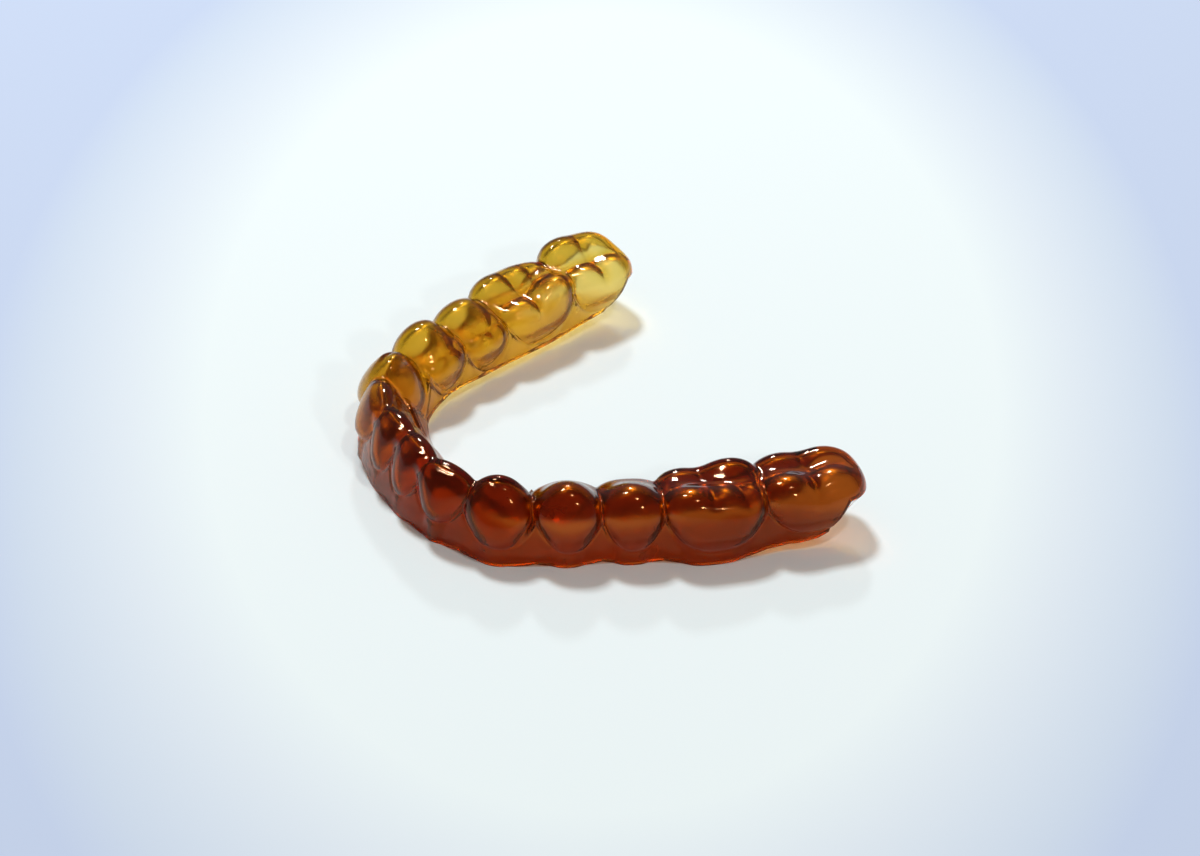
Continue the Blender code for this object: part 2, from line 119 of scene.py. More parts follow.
# %% [markdown]
# ## The shape of the shell
#
# A real aligner is formed on a model of the teeth, or printed round it, so its wall is even: the
# inside is the surface of the teeth and the outside lies 0.8 mm further out. The same can be done
# here. Each crown is described by a distance-like value: negative inside the crown, zero on its
# surface and positive outside. The smaller of two values joins two crowns, and a small blend
# rounds the groove between them. The level 0 of the whole row is the inside of the shell, and the
# level 0.8 mm is its outside, so the grooves come out sharp on the inside and softer on the
# outside, as on the real one.
#
# Modelling fourteen crowns by hand on a subdivision surface would work too, but then the wall has
# to be kept even by hand, and a Solidify modifier tangles in grooves that are narrower than the
# wall.

# %% Sizes of the shell, in metres
SHEET = 0.0008                # wall thickness
RIM_WAVE = 0.00035            # how far the cheek rim lifts between two teeth
RIM_FLAT = 0.35               # share of a tooth's half width along which the rim stays flat
RIM_POWER = 1.5               # how late the rim lifts beyond that
TOUCH = 0.00015               # how far neighbouring crowns are pressed together

# Arch line that the crowns stand on: how far out and how far back it passes each of them
MIDLINE_BACK = 0.0013
LATERAL_OUT = 0.0079
LATERAL_BACK = 0.0021
CANINE_OUT = 0.0126
CANINE_BACK = 0.0055
FIRST_PREMOLAR_OUT = 0.0159
FIRST_PREMOLAR_BACK = 0.0121
SECOND_PREMOLAR_OUT = 0.0183
SECOND_PREMOLAR_BACK = 0.0188
FIRST_MOLAR_OUT = 0.02135
FIRST_MOLAR_BACK = 0.0270
SECOND_MOLAR_OUT = 0.0237
SECOND_MOLAR_BACK = 0.0375
ARCH_END_OUT = 0.0245
ARCH_END_BACK = 0.0430
ARCH = (
    (0.0, MIDLINE_BACK),
    (LATERAL_OUT, LATERAL_BACK),
    (CANINE_OUT, CANINE_BACK),
    (FIRST_PREMOLAR_OUT, FIRST_PREMOLAR_BACK),
    (SECOND_PREMOLAR_OUT, SECOND_PREMOLAR_BACK),
    (FIRST_MOLAR_OUT, FIRST_MOLAR_BACK),
    (SECOND_MOLAR_OUT, SECOND_MOLAR_BACK),
    (ARCH_END_OUT, ARCH_END_BACK),
)

# %% [markdown]
# ### The teeth
#
# Each tooth is a list of sizes: its width at the contact and at the neck, how far its cheek and
# tongue sides bulge, where the gum line is, and its cusps, the rounded peaks of the chewing side.
# A cusp is a small dome with a height and a radius along and across the row. The widths are
# averages for adult lower teeth, and the cusps were matched to the photograph. The last molar on
# the wearer's right is short.

# %% Sizes of the gum ridge, the creases and the closed ends
# Gum ridge under the crowns
PAPILLA = 0.0053              # height of the gum between two teeth
GUM_POWER = 1.8               # how late the gum climbs towards the papilla
GUM_LEAN = 0.0007             # how much thinner the ridge is at the papilla than at the rim
LEAN_POWER = 1.8              # how late its cheek side leans in
LEAN_TOP = 1.6                # height up to which it leans, as a share of the papilla's
GUM_ROUND = 0.0008            # rounding of the ridge's top
GUM_LINE = 0.00020            # softness of the corner where a crown leaves the gum
GUM_END = 0.0008              # how far before the back of the last crown the ridge ends

# Crease along the gum line
GROOVE_POWER = 2.5            # how late it climbs, closer to the crowns than the gum does
GROOVE_DEPTH = 0.00016        # how deep it is
GROOVE_HALF = 0.00024         # and how far it reaches up and down

# Creases between the crowns. The resin fills them a little, so they are softer outside than inside.
CLEFT = 0.00020               # between two neighbouring crowns, inside
CLEFT_FILL = 0.00010          # and how much softer that is outside
FISSURE = 0.0003              # between two cusps, inside
FISSURE_FILL = 0.0009         # and how much softer that is outside

# Closed ends behind the second molars
END_RIM = 0.0058              # height of the rim behind the last molar
END_START = 0.0012            # where the end begins, behind the middle of the last molar
END_CLEAR = 0.25              # least gap before its first section, as a share of END_START
END_FOOT = 0.0022             # how far the sections' foot moves back while they tilt
END_CREST = 0.0032            # how far the sections' crest moves back
END_RISE = 0.45               # slope of the rim on the back half of the last molar

# %% Fourteen teeth from seven patterns
Cusp = namedtuple("Cusp", "along across height long_radius cross_radius")
Tooth = namedtuple("Tooth", (
    "width neck contact square shoulder "
    "cheek_neck cheek_bulge cheek_edge cheek_height "
    "tongue_neck tongue_bulge tongue_edge tongue_height hollow "
    "margin gum_cheek gum_tongue gum_slope rim_cheek rim_tongue foot crest_side crest rows cusps"))

CENTRAL = Tooth(
    width=0.0051, neck=0.0028, contact=0.0070, square=1.85, shoulder=0.0009,
    cheek_neck=0.0020, cheek_bulge=0.0023, cheek_edge=0.00065, cheek_height=0.0044,
    tongue_neck=0.0033, tongue_bulge=0.0031, tongue_edge=0.00065, tongue_height=0.0038, hollow=True,
    margin=0.0026, gum_cheek=0.0021, gum_tongue=0.0058, gum_slope=0.0034,
    rim_cheek=0.0, rim_tongue=0.0004,
    foot=-0.0022, crest_side=-0.0002, crest=0.0054, rows=8,
    cusps=(Cusp(0.0, 0.0, 0.0082, 0.0090, 0.0012),))
LATERAL = Tooth(
    width=0.0059, neck=0.0033, contact=0.0069, square=1.85, shoulder=0.0009,
    cheek_neck=0.0019, cheek_bulge=0.0023, cheek_edge=0.00065, cheek_height=0.0044,
    tongue_neck=0.0033, tongue_bulge=0.0031, tongue_edge=0.00065, tongue_height=0.0038, hollow=True,
    margin=0.0027, gum_cheek=0.0016, gum_tongue=0.0056, gum_slope=0.0032,
    rim_cheek=0.0, rim_tongue=0.0006,
    foot=-0.0021, crest_side=-0.0002, crest=0.0053, rows=9,
    cusps=(Cusp(-0.0002, 0.0, 0.0081, 0.0080, 0.0012),))
CANINE = Tooth(
    width=0.0072, neck=0.0044, contact=0.0066, square=2.2, shoulder=0.0010,
    cheek_neck=0.0029, cheek_bulge=0.0033, cheek_edge=0.0007, cheek_height=0.0042,
    tongue_neck=0.0028, tongue_bulge=0.0031, tongue_edge=0.0007, tongue_height=0.0038, hollow=True,
    margin=0.0021, gum_cheek=0.0026, gum_tongue=0.0042, gum_slope=0.0017,
    rim_cheek=0.0, rim_tongue=0.0010,
    foot=-0.0010, crest_side=-0.0001, crest=0.0050, rows=10,
    cusps=(Cusp(-0.0004, 0.0, 0.0086, 0.0020, 0.0013),))
FIRST_PREMOLAR = Tooth(
    width=0.0072, neck=0.0045, contact=0.0064, square=2.5, shoulder=0.0011,
    cheek_neck=0.0032, cheek_bulge=0.0036, cheek_edge=0.0022, cheek_height=0.0042,
    tongue_neck=0.0022, tongue_bulge=0.0030, tongue_edge=0.0026, tongue_height=0.0048, hollow=False,
    margin=0.0017, gum_cheek=0.0028, gum_tongue=0.0026, gum_slope=0.0004,
    rim_cheek=0.0, rim_tongue=0.0015,
    foot=0.0, crest_side=0.0, crest=0.0044, rows=10,
    cusps=(Cusp(-0.0001, 0.0015, 0.0085, 0.0022, 0.0024),
           Cusp(0.0002, -0.0021, 0.0061, 0.0032, 0.0026),
           Cusp(-0.0026, -0.0004, 0.0058, 0.0014, 0.0026),
           Cusp(0.0026, -0.0004, 0.0060, 0.0014, 0.0026)))
SECOND_PREMOLAR = Tooth(
    width=0.0071, neck=0.0048, contact=0.0063, square=2.7, shoulder=0.0011,
    cheek_neck=0.0034, cheek_bulge=0.0039, cheek_edge=0.0027, cheek_height=0.0042,
    tongue_neck=0.0022, tongue_bulge=0.0031, tongue_edge=0.0027, tongue_height=0.0048, hollow=False,
    margin=0.0017, gum_cheek=0.0029, gum_tongue=0.0029, gum_slope=0.0006,
    rim_cheek=0.0, rim_tongue=0.0014,
    foot=0.0, crest_side=0.0, crest=0.0041, rows=10,
    cusps=(Cusp(-0.0001, 0.0018, 0.0079, 0.0031, 0.0028),
           Cusp(-0.0008, -0.0020, 0.0058, 0.0034, 0.0028),
           Cusp(0.0018, -0.0020, 0.0056, 0.0028, 0.0026),
           Cusp(-0.0026, 0.0002, 0.0060, 0.0014, 0.0028),
           Cusp(0.0026, 0.0002, 0.0060, 0.0014, 0.0028)))
FIRST_MOLAR = Tooth(
    width=0.0110, neck=0.0084, contact=0.0060, square=3.3, shoulder=0.0012,
    cheek_neck=0.0042, cheek_bulge=0.0046, cheek_edge=0.0036, cheek_height=0.0038,
    tongue_neck=0.0031, tongue_bulge=0.0039, tongue_edge=0.0034, tongue_height=0.0046, hollow=False,
    margin=0.0017, gum_cheek=0.0039, gum_tongue=0.0037, gum_slope=0.0006,
    rim_cheek=0.0, rim_tongue=0.0013,
    foot=0.0, crest_side=0.0, crest=0.0040, rows=15,
    cusps=(Cusp(-0.0028, 0.0027, 0.0078, 0.0036, 0.0031),
           Cusp(0.0010, 0.0026, 0.0074, 0.0034, 0.0031),
           Cusp(0.0041, 0.0018, 0.0070, 0.0026, 0.0028),
           Cusp(-0.0030, -0.0026, 0.0068, 0.0044, 0.0031),
           Cusp(0.0031, -0.0026, 0.0077, 0.0040, 0.0031),
           Cusp(-0.0046, 0.0, 0.0064, 0.0015, 0.0040),
           Cusp(0.0047, -0.0002, 0.0065, 0.0015, 0.0036)))
SECOND_MOLAR = Tooth(
    width=0.0116, neck=0.0088, contact=0.0060, square=3.2, shoulder=0.0012,
    cheek_neck=0.0039, cheek_bulge=0.0044, cheek_edge=0.0034, cheek_height=0.0044,
    tongue_neck=0.0031, tongue_bulge=0.0038, tongue_edge=0.0033, tongue_height=0.0048, hollow=False,
    margin=0.0022, gum_cheek=0.0034, gum_tongue=0.0034, gum_slope=0.0006,
    rim_cheek=0.0014, rim_tongue=0.0014,
    foot=0.0, crest_side=0.0, crest=0.0042, rows=15,
    cusps=(Cusp(-0.0031, 0.0025, 0.0078, 0.0042, 0.0031),
           Cusp(0.0024, 0.0024, 0.0076, 0.0042, 0.0031),
           Cusp(-0.0024, -0.0025, 0.0073, 0.0046, 0.0031),
           Cusp(0.0030, -0.0024, 0.0072, 0.0046, 0.0031),
           Cusp(-0.0049, 0.0, 0.0066, 0.0015, 0.0040),
           Cusp(0.0049, 0.0, 0.0066, 0.0017, 0.0040)))
SHORT_MOLAR = SECOND_MOLAR._replace(
    width=0.0092, neck=0.0070, cheek_bulge=0.0047, gum_tongue=0.0034, rim_tongue=0.0020, rows=14,
    cusps=(Cusp(-0.0020, 0.0031, 0.0087, 0.0040, 0.0031),
           Cusp(0.0020, 0.0026, 0.0080, 0.0038, 0.0030),
           Cusp(-0.0022, -0.0025, 0.0074, 0.0038, 0.0031),
           Cusp(0.0021, -0.0023, 0.0072, 0.0036, 0.0030),
           Cusp(-0.0039, 0.0, 0.0066, 0.0015, 0.0040),
           Cusp(0.0039, 0.0, 0.0066, 0.0016, 0.0040)))
FRONT_TEETH = (CENTRAL, LATERAL, CANINE, FIRST_PREMOLAR, SECOND_PREMOLAR, FIRST_MOLAR)
LEFT_TEETH = FRONT_TEETH + (SECOND_MOLAR,)
RIGHT_TEETH = FRONT_TEETH + (SHORT_MOLAR,)

# %% [markdown]
# ### Smooth joins
#
# Two small tools do most of the shaping. One draws a smooth curve through a few given points. The
# other takes the smaller of two values and rounds the place where they meet, which turns a hard
# crease into a groove of a chosen softness. A third one lets a change start and stop without a
# crease.

# %% A curve through points, a soft minimum and an easing
def through(x, xs, ys):
    """A smooth curve through points: cubic pieces between them, and straight beyond them."""
    xs = np.asarray(xs, float)
    ys = np.asarray(ys, float)
    slopes = np.gradient(ys, xs)
    x = np.asarray(x, float)
    i = np.clip(np.searchsorted(xs, x) - 1, 0, len(xs) - 2)
    span = xs[i + 1] - xs[i]
    t = np.clip((x - xs[i]) / span, 0.0, 1.0)
    curve = ((2 * t ** 3 - 3 * t ** 2 + 1) * ys[i] + (t ** 3 - 2 * t ** 2 + t) * span * slopes[i]
             + (3 * t ** 2 - 2 * t ** 3) * ys[i + 1] + (t ** 3 - t ** 2) * span * slopes[i + 1])
    before = np.minimum(x - xs[0], 0.0) * slopes[0]
    after = np.maximum(x - xs[-1], 0.0) * slopes[-1]
    return curve + before + after


def soft_min(a, b, blend):
    """The smaller of two values, rounded where they meet."""
    near = np.maximum(blend - np.abs(a - b), 0.0) / blend
    return np.minimum(a, b) - near * near * blend / 4


def soft_max(a, b, blend):
    """The larger of two values, rounded where they meet."""
    return -soft_min(-a, -b, blend)


def ease(share):
    """A share from 0 to 1 with level ends, so that a surface has no crease at either."""
    share = np.clip(share, 0.0, 1.0)
    return share * share * (3 - 2 * share)


print("soft minimum of 1 and 1 with a blend of 0.4:", float(soft_min(1.0, 1.0, 0.4)))

# %% [markdown]
# ### The arch line
#
# The teeth stand on a horseshoe curve. Only one half is given, and the other is its mirror image.
# The curve is read by the distance walked along it from the midline, because tooth widths add up
# along the row.

# %% Arch line
class ArchLine:
    """The arch line, read by distance from the midline, with its tangents and outward normals."""

    FINE = 2000               # points that the curve is stored as
    BEYOND = 0.125            # how far it goes on past its last place, as a share of its length
    TANGENT_STEPS = 400       # a tangent is measured over two of this many steps

    def __init__(self, points):
        half = np.array(points)
        whole = np.vstack([half[:0:-1] * (-1, 1), half])
        chord = np.concatenate([[0.0], np.cumsum(np.linalg.norm(np.diff(whole, axis=0), axis=1))])
        middle = chord[len(half) - 1]
        fine = np.linspace(middle, chord[-1] + middle * self.BEYOND, self.FINE)
        self.place = np.column_stack([through(fine, chord, whole[:, k]) for k in (0, 1)])
        steps = np.linalg.norm(np.diff(self.place, axis=0), axis=1)
        self.distance = np.concatenate([[0.0], np.cumsum(steps)])

    def point(self, distance):
        """Points on the arch line."""
        return np.column_stack([np.interp(distance, self.distance, self.place[:, k])
                                for k in (0, 1)])

    def frame(self, distance):
        """Tangents towards the back and normals towards the cheek."""
        distance = np.atleast_1d(distance)
        step = self.distance[-1] / self.TANGENT_STEPS
        ahead = self.point(distance + step) - self.point(np.maximum(distance - step, 0.0))
        tangent = ahead / np.linalg.norm(ahead, axis=1)[:, None]
        tangent[distance <= 0.0] = (1.0, 0.0)
        normal = np.column_stack([tangent[:, 1], -tangent[:, 0]])
        return tangent, normal


LINE = ArchLine(ARCH)

# %% [markdown]
# ### One crown
#
# Seen from above a crown is a rounded rectangle, a superellipse, whose width and depth change
# with height: narrow at the neck, widest at the bulge and narrow again at the edge. A set of
# domes cuts it off at the top. The value is divided by its own slope, which makes it nearly a
# true distance, and that is what keeps the wall even.

# %% Value of one crown
SLOPE_STEP = 0.00001          # height step that a crown's slope is measured with
CENTRE_GAP = 1e-6             # keeps that slope finite in the middle of a crown
WALL_POWER = 1.9              # how late a wall leans in above its bulge
WALL_TOP = 1.3                # height up to which it does: 0 at the bulge, 1 at the tallest cusp
LEAST_DEPTH = 0.25            # least half depth of a wall, as a share of that at the edge


def wall(z, neck, bulge, edge, margin, bulge_height, top, hollow):
    """Half depth of a crown at height z: full at its bulge, less at the neck and at the edge."""
    up = np.clip((z - bulge_height) / (top - bulge_height), 0.0, WALL_TOP)
    rise = ease(up) if hollow else up ** WALL_POWER
    fall = ease((bulge_height - z) / (bulge_height - margin))
    return np.maximum(bulge - (bulge - edge) * rise - (bulge - neck) * fall, edge * LEAST_DEPTH)


def half_sizes(tooth, cheek_side, z):
    """Half width and half depth of a crown at height z."""
    top = max(cusp.height for cusp in tooth.cusps)
    below = ease((tooth.contact - z) / (tooth.contact - tooth.margin))
    half_width = tooth.width / 2 + TOUCH - (tooth.width - tooth.neck) / 2 * below
    cheek = wall(z, tooth.cheek_neck, tooth.cheek_bulge, tooth.cheek_edge, tooth.margin,
                 tooth.cheek_height, top, False)
    tongue = wall(z, tooth.tongue_neck, tooth.tongue_bulge, tooth.tongue_edge, tooth.margin,
                  tooth.tongue_height, top, tooth.hollow)
    return half_width, np.where(cheek_side, cheek, tongue)


def crown(tooth, along, across, z, fissure):
    """Distance-like value of one crown: negative inside, zero on its surface."""
    half_width, half_depth = half_sizes(tooth, across > 0, z)
    wider, deeper = half_sizes(tooth, across > 0, z + SLOPE_STEP)
    u = np.abs(along) / half_width + CENTRE_GAP
    v = np.abs(across) / half_depth + CENTRE_GAP
    power = tooth.square
    size = (u ** power + v ** power) ** (1 / power)
    scale = size ** (power - 1)
    slope_along = u ** (power - 1) / half_width / scale
    slope_across = v ** (power - 1) / half_depth / scale
    slope_up = (u ** power * (wider - half_width) / half_width
                + v ** power * (deeper - half_depth) / half_depth) / SLOPE_STEP / scale
    side = (size - 1) / np.sqrt(slope_along ** 2 + slope_across ** 2 + slope_up ** 2)
    top = None
    for cusp in tooth.cusps:
        a = (along - cusp.along) / cusp.long_radius
        c = (across - cusp.across) / cusp.cross_radius
        drop = a * a * cusp.long_radius / 2 + c * c * cusp.cross_radius / 2
        lobe = (z - cusp.height + drop) / np.sqrt(1 + a * a + c * c)
        top = lobe if top is None else soft_min(top, lobe, fissure)
    return soft_max(side, top, tooth.shoulder)


# %% [markdown]
# ### Half a row
#
# An arm holds the crowns of one side, the gum ridge under them and the sections that the mesh is
# built on. The ridge is a bank whose top is scalloped: low in the middle of each tooth and high
# between two teeth. At the back, the sections lean over like the ribs of a fan, so that they
# close the end.
#
# The mesh comes from rays. Each section has a fan of rays that start inside the crowns: level
# ones through the two walls and a half turn of them over the top. Every ray is walked from
# outside inwards until it meets the surface, and the same ray finds the inside and the outside of
# the wall.

# %% One arm of the row
MARCH_STEPS = 40              # coarse steps inwards
HALVINGS = 16                 # and then this many halvings of the last step
REACH = 0.0095                # length of the rays
NEIGHBOUR = 0.0050            # how far from a crown its shape still counts
END_ROWS = 24                 # leaning sections at each closed end
WALL_SHARE = 0.3              # share of a section's rays that leave each upright wall
DENSE_RAYS = 161              # rays that a section's length is measured with
FINER = 3.6                   # how many times more sections than the CAD model has
CROWDING = 0.25               # how much closer together they stand near the contacts, 0 for evenly
FAR_AWAY = 1.0                # value of a place that no crown is near to


class Arm:
    """One half of the row, worked out on the wearer's left: its crowns, gum ridge and sections."""

    def __init__(self, teeth):
        self.teeth = teeth
        widths = np.array([tooth.width for tooth in teeth])
        self.half_widths = widths / 2
        self.ends = np.cumsum(widths)
        self.middles = self.ends - self.half_widths
        self.places = LINE.point(self.middles)
        self.tangents, self.normals = LINE.frame(self.middles)
        self.set_sections()

    def along(self, distance, name):
        """One of the sizes of the teeth, carried smoothly from tooth to tooth along the arch."""
        middles = np.concatenate([[-self.middles[0]], self.middles])
        sizes = [getattr(tooth, name) for tooth in self.teeth[:1] + self.teeth]
        return through(np.clip(distance, 0.0, self.middles[-1]), middles, sizes)

    def from_middle(self, distance):
        """How far a place is from the middle of its tooth: 0 there, 1 at the contacts."""
        distance = np.clip(np.abs(distance), 0.0, self.ends[-1])
        tooth = np.clip(np.searchsorted(self.ends, distance), 0, len(self.ends) - 1)
        return np.abs(distance - self.middles[tooth]) / self.half_widths[tooth]

    def gum_line(self, distance, power):
        """Height of the gum line: low in the middle of each tooth and high between two teeth."""
        margin = self.along(distance, "margin")
        return margin + (PAPILLA - margin) * self.from_middle(distance) ** power

    def crease(self, distance, z):
        """How far the gum line's crease lies below the surface around it."""
        line = self.gum_line(np.abs(distance), GROOVE_POWER)
        return GROOVE_DEPTH * np.exp(-((z - line) / GROOVE_HALF) ** 2)

    def gum(self, distance, across, z):
        """Distance-like value of the gum ridge: a scalloped bank that leans in towards its top."""
        distance = np.abs(distance)
        top = self.gum_line(distance, GUM_POWER)
        lean = np.clip(z / PAPILLA, 0.0, LEAN_TOP)
        cheek = self.along(distance, "gum_cheek") - GUM_LEAN * lean ** LEAN_POWER
        slope = self.along(distance, "gum_slope")
        tongue = self.along(distance, "gum_tongue") - slope * lean
        side = np.maximum(across - cheek, (-across - tongue) / np.sqrt(1 + (slope / PAPILLA) ** 2))
        side = np.maximum(side, distance - self.ends[-1] + GUM_END)
        return soft_max(side, z - top, GUM_ROUND)

    def solid(self, xy, z, distance, across, level):
        """Distance-like value of the crowns and the gum ridge together, for one level of the wall.

        Each row of the arrays is one section, so only the crowns near it are worked out. The first
        crown of the other half is seen by mirroring the points.
        """
        cleft = CLEFT + CLEFT_FILL * level / SHEET
        fissure = FISSURE + FISSURE_FILL * level / SHEET
        value = np.full(z.shape, FAR_AWAY)
        for k, tooth in enumerate(self.teeth):
            near = np.abs(distance[:, 0] - self.middles[k]) < tooth.width / 2 + NEIGHBOUR
            offset = xy[near] - self.places[k]
            along, out = offset @ self.tangents[k], offset @ self.normals[k]
            value[near] = soft_min(value[near], crown(tooth, along, out, z[near], fissure), cleft)
        near = distance[:, 0] < NEIGHBOUR
        offset = xy[near] * (-1, 1) - self.places[0]
        along, out = offset @ self.tangents[0], offset @ self.normals[0]
        first = crown(self.teeth[0], along, out, z[near], fissure)
        value[near] = soft_min(value[near], first, cleft)
        return soft_min(value, self.gum(distance, across, z), GUM_LINE) + self.crease(distance, z)

    def places_of_sections(self):
        """Where the upright sections stand along the arch, closest together near the contacts."""
        places = [0.0]
        for tooth, middle in zip(self.teeth, self.middles):
            rows = round(FINER * tooth.rows)
            for k in range(1, rows + 1):
                even = 2 * k / rows - 1
                spread = (1 - CROWDING) * even + CROWDING * math.sin(even * math.pi / 2)
                places.append(middle + tooth.width / 2 * spread)
        last = self.middles[-1] + END_START
        before = last - END_START * END_CLEAR
        return np.array([place for place in places if place < before] + [last])

    def set_sections(self):
        """The sections' places, tilts, rims, feet and crests, out to the closed end."""
        upright = self.places_of_sections()
        quarter = np.linspace(0.0, math.pi / 2, END_ROWS + 1)[1:]
        self.tilt = np.concatenate([np.zeros(len(upright)), quarter])
        self.base = np.concatenate([upright, np.full(END_ROWS, upright[-1])])
        beyond = np.maximum(self.base - self.middles[-1], 0.0)
        rim_cheek = np.maximum(self.along(self.base, "rim_cheek"), 0.0) + END_RISE * beyond
        rim_tongue = np.maximum(self.along(self.base, "rim_tongue"), 0.0) + END_RISE * beyond
        lift = np.clip((self.from_middle(self.base) - RIM_FLAT) / (1 - RIM_FLAT), 0.0, 1.0)
        crest = self.along(self.base, "crest")
        turned = 1 - np.cos(self.tilt)
        share = turned + (np.sin(self.tilt) - turned) / 2
        rim_cheek += RIM_WAVE * lift ** RIM_POWER
        self.rim_cheek = rim_cheek + (END_RIM - rim_cheek) * share
        self.rim_tongue = rim_tongue + (END_RIM - rim_tongue) * share
        self.crest = crest + (END_RIM - crest) * share
        self.foot_back = END_FOOT * share
        self.crest_back = END_CREST * share
        self.foot_side = self.along(self.base, "foot")
        self.crest_side = self.along(self.base, "crest_side")

    def rays(self, v):
        """Starts and directions of the rays at v, 0 at the cheek rim and 1 at the tongue rim."""
        cheek_wall = np.clip(v / WALL_SHARE, 0.0, 1.0)
        tongue_wall = np.clip((1 - v) / WALL_SHARE, 0.0, 1.0)
        rise = np.minimum(cheek_wall, tongue_wall)
        foot = np.where(v < 0.5, self.rim_cheek[:, None], self.rim_tongue[:, None])
        turn = np.clip((v - WALL_SHARE) / (1 - 2 * WALL_SHARE), 0.0, 1.0) * math.pi
        back = self.foot_back[:, None] + (self.crest_back - self.foot_back)[:, None] * rise
        side = self.foot_side[:, None] + (self.crest_side - self.foot_side)[:, None] * rise
        height = foot + (self.crest[:, None] - foot) * rise
        start = np.stack([back, side, height], axis=-1)
        tilt = self.tilt[:, None]
        direction = np.stack([np.sin(turn) * np.sin(tilt), np.cos(turn),
                              np.sin(turn) * np.cos(tilt)], axis=-1)
        return start, direction

    def hit(self, v, level):
        """Points where the rays at v cross a level of the solid, coming from outside.

        The coarse steps find the first place inside, and the halvings close in between it and the
        last place outside.
        """
        start, direction = self.rays(v)
        origin = LINE.point(self.base)[:, None]
        tangent, normal = (part[:, None] for part in LINE.frame(self.base))

        def spots(reach):
            local = start + direction * reach[..., None]
            xy = origin + local[..., :1] * tangent + local[..., 1:2] * normal
            return xy, local

        def is_inside(reach):
            xy, local = spots(reach)
            distance = self.base[:, None] + local[..., 0]
            return self.solid(xy, local[..., 2], distance, local[..., 1], level) < level

        far = np.full(v.shape, REACH)
        near = np.zeros(v.shape)
        found = np.zeros(v.shape, bool)
        for k in range(1, MARCH_STEPS + 1):
            reach = np.full(v.shape, REACH * (1 - k / MARCH_STEPS))
            struck = is_inside(reach)
            near = np.where(struck & ~found, reach, near)
            far = np.where(~struck & ~found, reach, far)
            found |= struck
        for _ in range(HALVINGS):
            middle = (near + far) / 2
            struck = is_inside(middle)
            near = np.where(struck, middle, near)
            far = np.where(struck, far, middle)
        xy, local = spots((near + far) / 2)
        return np.concatenate([xy, local[..., 2:]], axis=-1)

    def even_rays(self, count):
        """For each section, the rays that cut its outside into equal lengths."""
        dense = np.linspace(0.0, 1.0, DENSE_RAYS)
        v = np.tile(dense, (len(self.base), 1))
        steps = np.linalg.norm(np.diff(self.hit(v, SHEET), axis=1), axis=2)
        lengths = np.concatenate([np.zeros((len(v), 1)), np.cumsum(steps, axis=1)], axis=1)
        shares = np.linspace(0.0, 1.0, count + 1)
        return np.array([np.interp(shares * length[-1], length, dense) for length in lengths])


right_arm, left_arm = Arm(RIGHT_TEETH), Arm(LEFT_TEETH)
print("sections:", len(right_arm.base), "on the right arm and", len(left_arm.base), "on the left")

# %% [markdown]
# ### From rays to a closed mesh
#
# The rays give two grids of points, one for the outside and one for the inside, that match point
# for point. Joining neighbours gives two skins of quads. A strip of quads along the edge of the
# grids joins the skins, and that strip is the trimmed rim. Each point also carries a value named
# "inside", 0 or 1, by which the resin tells the two skins apart. The trimmed edge of a real
# aligner is polished round, so a bevel rounds the two edges of the strip and nothing else.

# %% Two skins of points, from -X to +X
POINTS_ACROSS = 80            # quads from the cheek rim over the crown to the tongue rim


def skins(count):
    """Outside and inside of the shell as grids of points, section by section from -X to +X."""
    rays = {arm: arm.even_rays(count) for arm in (left_arm, right_arm)}
    grids = []
    for level in (SHEET, 0.0):
        mirrored = right_arm.hit(rays[right_arm], level)[:0:-1] * (-1, 1, 1)
        grids.append(np.concatenate([mirrored, left_arm.hit(rays[left_arm], level)]))
    return grids


outside, inside = skins(POINTS_ACROSS)
low, high = outside.reshape(-1, 3).min(axis=0), outside.reshape(-1, 3).max(axis=0)
centre = (low + high) / 2
centre[2] = min(low[2], inside[..., 2].min())
outside, inside = outside - centre, inside - centre
print("sections:", outside.shape[0], "with", outside.shape[1], "points on each skin")

# %% A closed mesh from two grids
def grid_quads(index):
    """Quads between neighbouring points of a grid of vertex numbers."""
    corners = (index[:-1, :-1], index[:-1, 1:], index[1:, 1:], index[1:, :-1])
    return np.stack(corners, axis=-1).reshape(-1, 4)


def edge_strip(outer, inner):
    """Quads that join two matching rows of vertex numbers."""
    return np.stack([outer[:-1], outer[1:], inner[1:], inner[:-1]], axis=-1)


def closed_shell(name, outside, inside):
    """A mesh of two skins joined along the rim, and the edges of that rim."""
    outer = np.arange(outside[..., 0].size).reshape(outside.shape[:2])
    inner = outer + outer.size
    around = [np.concatenate([grid[:, 0], grid[-1, 1:], grid[-2::-1, -1], grid[0, -2::-1]])
              for grid in (outer, inner)]
    faces = np.concatenate([grid_quads(outer), grid_quads(inner)[:, ::-1], edge_strip(*around)])
    points = np.concatenate([outside.reshape(-1, 3), inside.reshape(-1, 3)])
    mesh = bpy.data.meshes.new(name)
    mesh.from_pydata(points, [], faces[:, ::-1].tolist())
    which_skin = mesh.attributes.new("inside", "FLOAT", "POINT")
    which_skin.data.foreach_set("value", np.repeat((0.0, 1.0), outer.size))
    mesh.validate()
    mesh.shade_smooth()
    edges = {tuple(sorted(pair)) for loop in around
             for pair in zip(loop[:-1].tolist(), loop[1:].tolist())}
    return mesh, edges


shell_mesh, rim = closed_shell("aligner_shell_detailed", outside, inside)
print("faces:", len(shell_mesh.polygons), "rim edges:", len(rim))

# %% The rim's edges, polished round
EDGE_ROUND = 0.00022          # how far the polishing reaches from each edge
EDGE_SEGMENTS = 3

